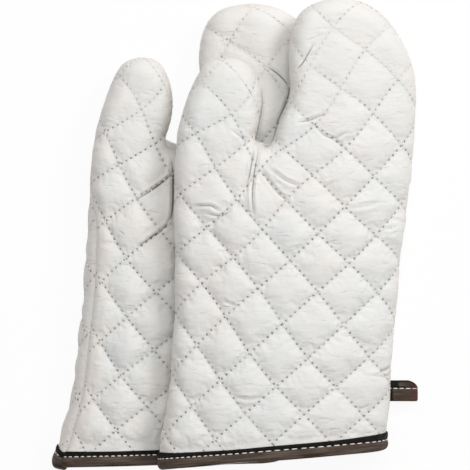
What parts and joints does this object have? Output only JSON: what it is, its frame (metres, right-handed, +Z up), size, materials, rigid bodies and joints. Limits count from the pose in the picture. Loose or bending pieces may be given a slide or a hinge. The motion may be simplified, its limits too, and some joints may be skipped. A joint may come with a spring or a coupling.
{
  "type": "oven gloves",
  "caption": "Quilted oven gloves with separate thumbs, bound cuffs and side hanging loops, lying flat and overlapping as a pair.",
  "frame": {"origin": "middle of the base of the pair's box, on the surface that the gloves lie on", "axes": "+Y along the gloves towards the fingertips, +X to the right seen from above with the upper glove at the right, +Z up"},
  "size_m": [0.2204, 0.2842, 0.0582],
  "materials": {
    "quilted_cloth": "matt off-white cotton, quilted in diamonds",
    "wadding": "soft white fibre",
    "lining": "plain off-white cotton",
    "tape": "dark brown woven tape with a slight sheen"
  },
  "bodies": {
    "lower_glove": {"lower_glove_palm_outer_cloth": "quilted_cloth", "lower_glove_palm_wadding": "wadding", "lower_glove_palm_lining": "lining", "lower_glove_back_outer_cloth": "quilted_cloth", "lower_glove_back_wadding": "wadding", "lower_glove_back_lining": "lining", "lower_glove_cuff_binding": "tape"},
    "lower_loop": {"lower_glove_hanging_loop": "tape"},
    "upper_glove": {"upper_glove_palm_outer_cloth": "quilted_cloth", "upper_glove_palm_wadding": "wadding", "upper_glove_palm_lining": "lining", "upper_glove_back_outer_cloth": "quilted_cloth", "upper_glove_back_wadding": "wadding", "upper_glove_back_lining": "lining", "upper_glove_cuff_binding": "tape"},
    "upper_loop": {"upper_glove_hanging_loop": "tape"}
  },
  "joints": [
    {"name": "upper_glove_lift", "type": "slide", "parent": "lower_glove", "child": "upper_glove", "axis": [0, 0, 1], "range_m": [0, 0.12]},
    {"name": "lower_loop_hinge", "type": "hinge", "parent": "lower_glove", "child": "lower_loop", "pos_m": [0.03399, -0.09944, 0.013], "axis": [0, -1, 0], "range_deg": [-25, 18]},
    {"name": "upper_loop_hinge", "type": "hinge", "parent": "upper_glove", "child": "upper_loop", "pos_m": [0.0955, -0.09484, 0.00801], "axis": [0, -1, 0], "range_deg": [-15, 75]}
  ]
}
